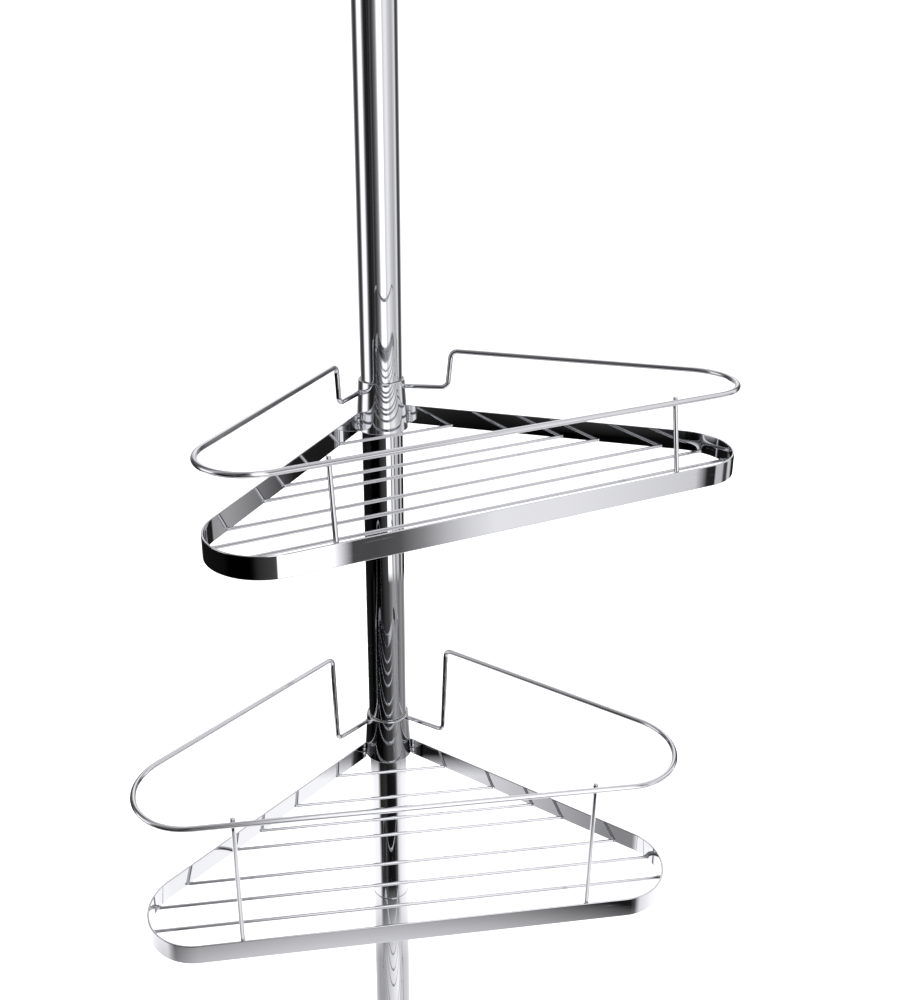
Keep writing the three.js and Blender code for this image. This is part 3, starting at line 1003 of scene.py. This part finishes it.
@dataclass(frozen=True)
class Foot:
    """The foot at one end of the pole: a moulding with a socket, and the rubber pad round its flange.

    Heights are measured from the pad's flat face.
    """

    end: str  # "floor" or "ceiling"
    body: str
    up: int  # +1 if the socket opens upwards
    socket: float
    neck: float
    socket_floor: float
    flange_radius: float = 27.5
    flange_low: float = 4.3
    flange_high: float = 8.3
    flange_edge: float = 0.8
    shoulder_radius: float = 26.9
    flare_steepness: float = 0.8
    pad_radius: float = 30.0
    pad_height: float = 7.5
    pad_well: Point2 = (27.8, 4.0)  # the radius and floor of its hollow

    def build(self) -> None:
        """Builds the moulding and the pad."""
        low, high = node_span(f"{self.end}_pad")
        face = low if self.up == 1 else high
        for name, outline, finish, node in (
            ("foot_moulding", self.moulding(), Finishes.GREY, "foot"),
            ("rubber_pad", self.pad(), Finishes.RUBBER, "pad"),
        ):
            places = [(r, face + self.up * z) for r, z in outline]
            turned_piece(f"{self.end}_{name}", places, finish, self.body, f"{self.end}_{node}")

    def moulding(self) -> list[Point2]:
        """Outline of flange, flare, neck and socket."""
        low, high = node_span(f"{self.end}_foot")
        top = self.flange_low + high - low
        flare_top = self.flange_high + (self.flange_radius - self.neck) * self.flare_steepness
        low_edge = (self.flange_radius, self.flange_low)
        high_edge, inward = Vector((self.flange_radius, self.flange_high)), Vector((0, self.flange_high))
        outline = [(0.0, self.flange_low), low_edge]
        outline += rounded_corner(Vector(low_edge), high_edge, inward, self.flange_edge)
        steps = 18
        for step in range(1, steps + 1):
            turn = math.pi / 2 * step / steps
            radius = self.shoulder_radius - (self.shoulder_radius - self.neck) * math.sin(turn)
            outline.append((radius, flare_top - (flare_top - self.flange_high) * math.cos(turn)))
        floor = self.flange_low + self.socket_floor
        outline += [(self.neck, top - 0.3), (self.neck - 0.5, top), (self.socket + 0.5, top)]
        outline += [(self.socket, top - 0.6), (self.socket, floor), (0.0, floor)]
        return outline

    def pad(self) -> list[Point2]:
        """Outline of the dished pad."""
        well, floor = self.pad_well
        rim = [(self.pad_radius, 0, 1.0), (self.pad_radius, self.pad_height, 1.0)]
        hollow = [(well, self.pad_height, 0.6), (well, floor, 0.3), (0.0, floor, 0)]
        return rounded_profile([(0.0, 0.0, 0), (20.0, 0.0, 0), *rim, *hollow])


@dataclass
class Pole:
    """The tension pole: feet, tubes, coupler, collet, lock collar and the sprung top."""

    tube_radius: float = 12.5
    tube_wall: float = 1.0
    inner_radius: float = 10.7
    inner_wall: float = 0.9
    coupler_wall: float = 2.0
    slip: float = 0.08  # gap between parts that slide in each other
    rod_radius: float = 6.0
    spring_radius: float = 7.4
    spring_wire: float = 0.8
    spring_turns: int = 9
    flute_count: int = 12
    flute_depth: float = 1.3
    flute_fade: float = 4.0

    def build(self) -> None:
        """Builds and dresses every piece of the pole."""
        self.build_tubes()
        Foot("floor", "pole", 1, socket=12.6, neck=16.4, socket_floor=8.0).build()
        Foot("ceiling", "plunger", -1, socket=6.08, neck=9.5, socket_floor=7.0).build()
        self.build_collet()
        self.build_collar()
        self.build_seat()
        self.build_spring()
        self.build_bush()
        self.build_plunger()

    def build_tubes(self) -> None:
        """The chromed tubes and the zinc-plated sleeve that joins two of them."""
        coupler_radius = self.tube_radius - self.tube_wall - self.slip
        for node, radius, wall, finish, body in (
            ("lower_tube", self.tube_radius, self.tube_wall, Finishes.TUBE, "pole"),
            ("upper_tube", self.tube_radius, self.tube_wall, Finishes.TUBE, "pole"),
            ("inner_tube", self.inner_radius, self.inner_wall, Finishes.TUBE, "extension"),
            ("tube_coupler", coupler_radius, self.coupler_wall, Finishes.ZINC, "pole"),
        ):
            outline = tube_outline(radius, wall, *node_span(node))
            turned_piece(f"pole_{node}", outline, finish, body, node, 128)

    def build_collet(self) -> None:
        """The collet in the outer tube's mouth."""
        bottom, top = node_span("grip_collet")
        bore, inside = self.inner_radius + self.slip, self.tube_radius - self.tube_wall - self.slip
        flange = node_span("upper_tube")[1] + 0.3
        corners = [
            (inside, bottom, 0.5),
            (inside, flange, 0.0),
            (self.tube_radius, flange, 0.2),
            (self.tube_radius, flange + 3, 0.3),
            (self.tube_radius - 0.5, top, 0.3),
            (bore, top, 0.2),
            (bore, bottom, 0.3),
        ]
        turned_piece("pole_grip_collet", rounded_profile(corners, 2), Finishes.NYLON, "pole", "grip_collet")

    def build_collar(self) -> None:
        """The fluted collar that locks the telescope."""
        bottom, top = node_span("lock_collar")
        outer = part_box("lock_collar")[1].x / MM
        shoulder = node_span("grip_collet")[1] + 0.3
        wide, narrow = self.tube_radius + self.slip, self.inner_radius + 2 * self.slip
        low, high = bottom + 3, top - 6  # the flutes' stretch
        steps = 14
        outline = [(outer - 1.2, bottom), (outer - 0.35, bottom + 0.35), (outer, bottom + 1.2)]
        outline += [(outer, low + (high - low) * i / steps) for i in range(steps + 1)]
        outline += [(outer, top - 4), (outer - 0.4, top - 2.6), (outer - 1.4, top - 1.0), (outer - 3, top)]
        outline += [(narrow + 0.5, top), (narrow, top - 0.5), (narrow, shoulder), (wide, shoulder)]
        outline += [(wide, bottom + 0.5), (wide + 0.5, bottom)]

        def fluted(radius: float, z: float, angle: float) -> float:
            """Presses a flute in the grip, fading out at both its ends."""
            if radius < outer - 0.01:
                return radius
            fade = min(1.0, max(0.0, (z - low) / self.flute_fade), max(0.0, (high - z) / self.flute_fade))
            wave = max(0.0, math.cos(self.flute_count * angle)) ** 0.7
            return radius - self.flute_depth * wave * math.sin(fade * math.pi / 2)

        segments = self.flute_count * 16
        turned_piece("pole_lock_collar", outline, Finishes.GREY, "collar", "lock_collar", segments, fluted)

    def build_seat(self) -> None:
        """The plug in the inner tube that the spring stands on."""
        low, high = node_span("spring_seat")
        bore = self.inner_radius - self.inner_wall - self.slip
        hub_base = high - 7
        outline = [(0.0, low), (bore - 0.6, low), (bore, low + 0.6), (bore, hub_base - 0.4)]
        outline += [(bore - 0.4, hub_base), (5.4, hub_base), (4.9, high - 0.7), (4.3, high), (0.0, high)]
        turned_piece("pole_spring_seat", outline, Finishes.NYLON, "extension", "spring_seat")

    def build_bush(self) -> None:
        """The bush in the inner tube's mouth that guides the plunger."""
        low, high = node_span("end_bush")
        flange = node_span("inner_tube")[1] + 0.3
        bore, rod_bore = self.inner_radius - self.inner_wall - self.slip, self.rod_radius + self.slip
        corners = [
            (bore, low, 0.5),
            (bore, flange, 0.0),
            (self.inner_radius, flange, 0.2),
            (self.inner_radius - 0.6, high, 0.8),
            (rod_bore, high, 0.4),
            (rod_bore, low, 0.3),
        ]
        turned_piece("pole_end_bush", rounded_profile(corners), Finishes.NYLON, "extension", "end_bush")

    def build_plunger(self) -> None:
        """The plunger rod with the collar that the spring presses on."""
        low, high = node_span("plunger_rod")
        collar, chamfer = 9.2, 0.6
        collar_top = low + 5
        outline = [(0.0, low), (collar - chamfer, low), (collar, low + chamfer)]
        outline += [(collar, collar_top - chamfer), (collar - chamfer, collar_top)]
        outline += [(self.rod_radius, collar_top), (self.rod_radius, high - 0.8)]
        outline += [(self.rod_radius - 0.8, high), (0.0, high)]
        turned_piece("pole_plunger_rod", outline, Finishes.ZINC, "plunger", "plunger_rod")

    def build_spring(self) -> None:
        """The compression spring, built once at the length that the frame gives it; the real one shortens
        as the plunger is pressed in, this coil does not.
        """
        low, high = node_span("tension_spring")
        bottom, top = low + self.spring_wire, high - self.spring_wire
        steps = self.spring_turns * 32
        path = []
        for step in range(steps + 1):
            angle = TURN * self.spring_turns * step / steps
            rise = bottom + (top - bottom) * step / steps
            x, y = self.spring_radius * math.cos(angle), self.spring_radius * math.sin(angle)
            path.append(Vector((x, y, rise)))
        mesh = bmesh.new()
        swept(mesh, path, Round(self.spring_wire, 12))
        spring = finished_piece("pole_tension_spring", mesh, Finishes.ZINC, "extension", "tension_spring")
        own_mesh(spring)


# ---------- studio ----------


@dataclass(frozen=True)
class LightBand:
    """Brightness that the studio shows all round within one range of heights.

    Each pair of shades is a bearing in degrees from the studio's heading, positive to its right, and the
    brightness there, graded as the eye sees it with 1 as the panels' white. The band starts at from_deg of
    elevation and takes blend_deg to take over from the one beneath it.
    """

    name: str
    from_deg: float
    blend_deg: float
    shades: tuple[Point2, ...]


BANDS = (
    LightBand(
        "ground",
        -90,
        1,
        (
            (-180, 0.8), (-100, 0.6), (-60, 0.6), (0, 0.85), (40, 0.95), (60, 0.75), (180, 0.8),
        ),
    ),
    LightBand(
        "skirting",
        -46,
        3,
        (
            (-180, 0.95), (-75, 0.95), (-64, 0.6), (-56, 0.15), (-20, 0.2), (-8, 0.08), (36, 0.12),
            (46, 0.3), (58, 0.85), (88, 0.95), (180, 0.95),
        ),
    ),
    LightBand(
        "low",
        -37.5,
        1,
        (
            (-180, 0.35), (-160, 0.2), (-140, 0.12), (-105, 0.1), (-90, 0.04), (-80, 0.05), (-70, 0.13),
            (-62, 0.04), (-28, 0.06), (-12, 0.14), (0, 0.22), (20, 0.26), (34, 0.45), (48, 0.58),
            (66, 0.54), (84, 0.42), (104, 0.55), (124, 0.42), (138, 0.55), (150, 0.75), (168, 0.88),
            (180, 0.5),
        ),
    ),
    LightBand(
        "bench",
        -27.6,
        0.6,
        (
            (-180, 0.5), (-160, 0.35), (-148, 0.1), (-80, 0.08), (-66, 0.02), (-28, 0.02), (-22, 0.08),
            (-12, 0.18), (12, 0.25), (19, 0.3), (20, 1.1), (44.1, 1.1), (44.3, 0.28), (47, 0.28),
            (48.5, 0.36), (49.6, 0.57), (51, 0.74), (53, 0.88), (58, 0.87), (64.8, 0.78), (65.6, 0.15),
            (69, 0.15), (72, 0.72), (90, 0.7), (96, 0.25), (106, 0.25), (112, 0.75), (122, 0.7),
            (128, 0.12), (150, 0.15), (180, 0.5),
        ),
    ),
    LightBand(
        "level",
        -19.5,
        1.5,
        (
            (-180, 0.78), (-148, 0.45), (-136, 0.24), (-114, 0.22), (-105, 0.5), (-98, 1.0), (-75, 1.0),
            (-66, 0.45), (-58, 0.16), (-44, 0.12), (-38, 0.2), (-34, 0.13), (-26, 0.3), (-20, 0.17),
            (-12, 0.32), (-1, 0.5), (4, 0.72), (9, 1.05), (31, 1.05), (35, 0.78), (46, 0.9), (56, 0.88),
            (66, 0.76), (86, 0.66), (98, 0.76), (107, 0.88), (115, 0.45), (122, 0.24), (138, 0.28),
            (150, 0.5), (180, 0.82),
        ),
    ),
    LightBand(
        "upper",
        10,
        8,
        (
            (-180, 0.8), (-162, 0.75), (-150, 0.35), (-120, 0.3), (-95, 0.6), (-76, 0.75), (-64, 0.4),
            (-35, 0.35), (-10, 0.2), (0, 0.4), (5, 1.0), (28, 1.0), (34, 0.5), (50, 0.5), (58, 0.85),
            (84, 0.8), (100, 0.9), (118, 0.9), (128, 0.35), (144, 0.35), (154, 0.9), (180, 0.9),
        ),
    ),
    LightBand(
        "sky",
        48,
        12,
        (
            (-180, 0.6), (-130, 0.7), (-90, 0.55), (-50, 0.42), (-15, 0.25), (4, 0.9), (40, 1.0),
            (64, 0.65), (180, 0.85),
        ),
    ),
)


@dataclass
class Studio:
    """White room with panels and dark flags round the object, which is what bright chrome shows.

    Panels and flags are seen only in reflections; everything else is lit by the plain white room.
    """

    heading_deg: float = -5.0
    gain: float = 1.75
    room_strength: float = 1.15
    display_gamma: float = 2.2
    floor_radius_m: float = 6.0
    floor_gap_m: float = 0.0002

    def build(self) -> None:
        """Builds the world, the lamps and the floor."""
        self.build_world()
        self.build_floor()
        self.build_lamps()

    def build_world(self) -> None:
        """The panels and flags, as a world that only reflections see."""
        world = bpy.data.worlds.new("studio_room")
        bpy.context.scene.world = world
        world.use_nodes = True
        tree = world.node_tree
        tree.nodes.clear()
        place = add_node(tree, "ShaderNodeTexCoord")
        split = add_node(tree, "ShaderNodeSeparateXYZ", {0: place.outputs["Generated"]})
        backwards = combined(tree, "MULTIPLY", split.outputs["Y"], -1.0)
        bearing = combined(tree, "ARCTAN2", split.outputs["X"], backwards)
        bearing = combined(tree, "SUBTRACT", bearing, math.radians(self.heading_deg))
        share = combined(tree, "FRACT", combined(tree, "ADD", combined(tree, "DIVIDE", bearing, TURN), 0.5))
        height = combined(tree, "ARCSINE", split.outputs["Z"])
        colour = self.ramp(tree, share, BANDS[0])
        for band in BANDS[1:]:
            edge = (math.radians(band.from_deg), math.radians(band.from_deg + band.blend_deg))
            part = ranged(tree, height, edge, (0.0, 1.0))
            mix = {"Factor": part, 6: colour, 7: self.ramp(tree, share, band)}
            colour = add_node(tree, "ShaderNodeMix", mix, data_type="RGBA").outputs[2]
        panels = add_node(tree, "ShaderNodeBackground", {"Color": colour, "Strength": self.gain})
        plain = {"Color": linear("ffffff"), "Strength": self.room_strength}
        white = add_node(tree, "ShaderNodeBackground", plain)
        ray = add_node(tree, "ShaderNodeLightPath")
        choice = {0: ray.outputs["Is Glossy Ray"], 1: white.outputs[0], 2: panels.outputs[0]}
        mixed = add_node(tree, "ShaderNodeMixShader", choice)
        add_node(tree, "ShaderNodeOutputWorld", {"Surface": mixed.outputs[0]})

    def ramp(self, tree: Tree, share: Socket, band: LightBand) -> Socket:
        """A band's brightness as a colour ramp over the full turn."""
        node = add_node(tree, "ShaderNodeValToRGB", {"Fac": share})
        stops = node.color_ramp.elements
        while len(stops) > 1:
            stops.remove(stops[-1])
        for i, (bearing, shade) in enumerate(band.shades):
            stop = stops[0] if i == 0 else stops.new(bearing / 360 + 0.5)
            stop.position = bearing / 360 + 0.5
            bright = shade**self.display_gamma
            stop.color = (bright, bright * 0.99, bright, 1.0)
        return node.outputs["Color"]

    def build_floor(self) -> None:
        """A pale matte floor under the pole."""
        mesh = bmesh.new()
        bmesh.ops.create_circle(mesh, cap_ends=True, radius=self.floor_radius_m, segments=96)
        data = bpy.data.meshes.new("studio_floor")
        mesh.to_mesh(data)
        mesh.free()
        floor = bpy.data.objects.new("studio_floor", data)
        bpy.context.scene.collection.objects.link(floor)
        floor.location.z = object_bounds()[0].z - self.floor_gap_m
        floor.visible_glossy = False
        material = bpy.data.materials.new("studio_floor_paint")
        material.use_nodes = True
        shader = material.node_tree.nodes["Principled BSDF"]
        shader.inputs["Base Color"].default_value = linear("f6f6f6")
        shader.inputs["Roughness"].default_value = 0.9
        data.materials.append(material)
        floor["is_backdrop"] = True

    def build_lamps(self) -> None:
        """Soft lamps high on both sides."""
        aim = Vector((0, 0, 0.7))
        for name, place, size, power in (
            ("key_softbox", (-1.6, -1.6, 2.6), 1.6, 60.0),
            ("fill_softbox", (2.0, -0.8, 2.2), 1.8, 40.0),
            ("back_softbox", (0.3, 2.2, 2.4), 1.8, 40.0),
        ):
            data = bpy.data.lights.new(name, "AREA")
            data.size = size
            data.energy = power
            lamp = bpy.data.objects.new(name, data)
            lamp.location = place
            lamp.rotation_mode = "QUATERNION"
            lamp.rotation_quaternion = (aim - Vector(place)).to_track_quat("-Z", "Y")
            lamp.visible_glossy = False
            lamp.visible_camera = False
            bpy.context.scene.collection.objects.link(lamp)


@dataclass
class Viewpoint:
    """The camera in front of the upper shelf, a little above it."""

    distance_mm: float = 613.7
    above_sleeve_mm: float = 183.0
    around_deg: float = -5.08  # bearing of the camera, positive to the right
    yaw_deg: float = 8.2
    pitch_deg: float = 20.51
    lens_mm: float = 38.24
    shift: Point2 = (0.025, -0.05)

    def build(self) -> None:
        """Makes the camera and hands it to the scene."""
        around, yaw, pitch = (math.radians(a) for a in (self.around_deg, self.yaw_deg, self.pitch_deg))
        sleeve_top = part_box("upper_sleeve")[1].z
        data = bpy.data.cameras.new("viewpoint")
        data.lens = self.lens_mm
        data.shift_x, data.shift_y = self.shift
        data.clip_start = 0.01
        camera = bpy.data.objects.new("viewpoint", data)
        camera.location = (
            self.distance_mm * MM * math.sin(around),
            -self.distance_mm * MM * math.cos(around),
            sleeve_top + self.above_sleeve_mm * MM,
        )
        level = math.cos(pitch)
        forward = Vector((math.sin(yaw) * level, math.cos(yaw) * level, -math.sin(pitch)))
        camera.rotation_mode = "QUATERNION"
        camera.rotation_quaternion = forward.to_track_quat("-Z", "Y")
        bpy.context.scene.collection.objects.link(camera)
        bpy.context.scene.camera = camera


def main() -> None:
    """Builds the caddy and the studio in order."""
    logging.basicConfig(level=logging.INFO, format="%(message)s")
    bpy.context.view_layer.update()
    Pole().build()
    tall, low = Rails.TALL.value, Rails.LOW.value
    Shelf("lower", turn_deg=0, rim_drop=23, rail=tall).build()
    Shelf("middle", turn_deg=0, rim_drop=23, rail=tall).build()
    Shelf("upper", turn_deg=18.4, rim_drop=18.9, rail=low).build()
    Viewpoint().build()
    Studio().build()
    view = bpy.context.scene.view_settings
    view.view_transform = "Standard"


if __name__ == "__main__":
    main()
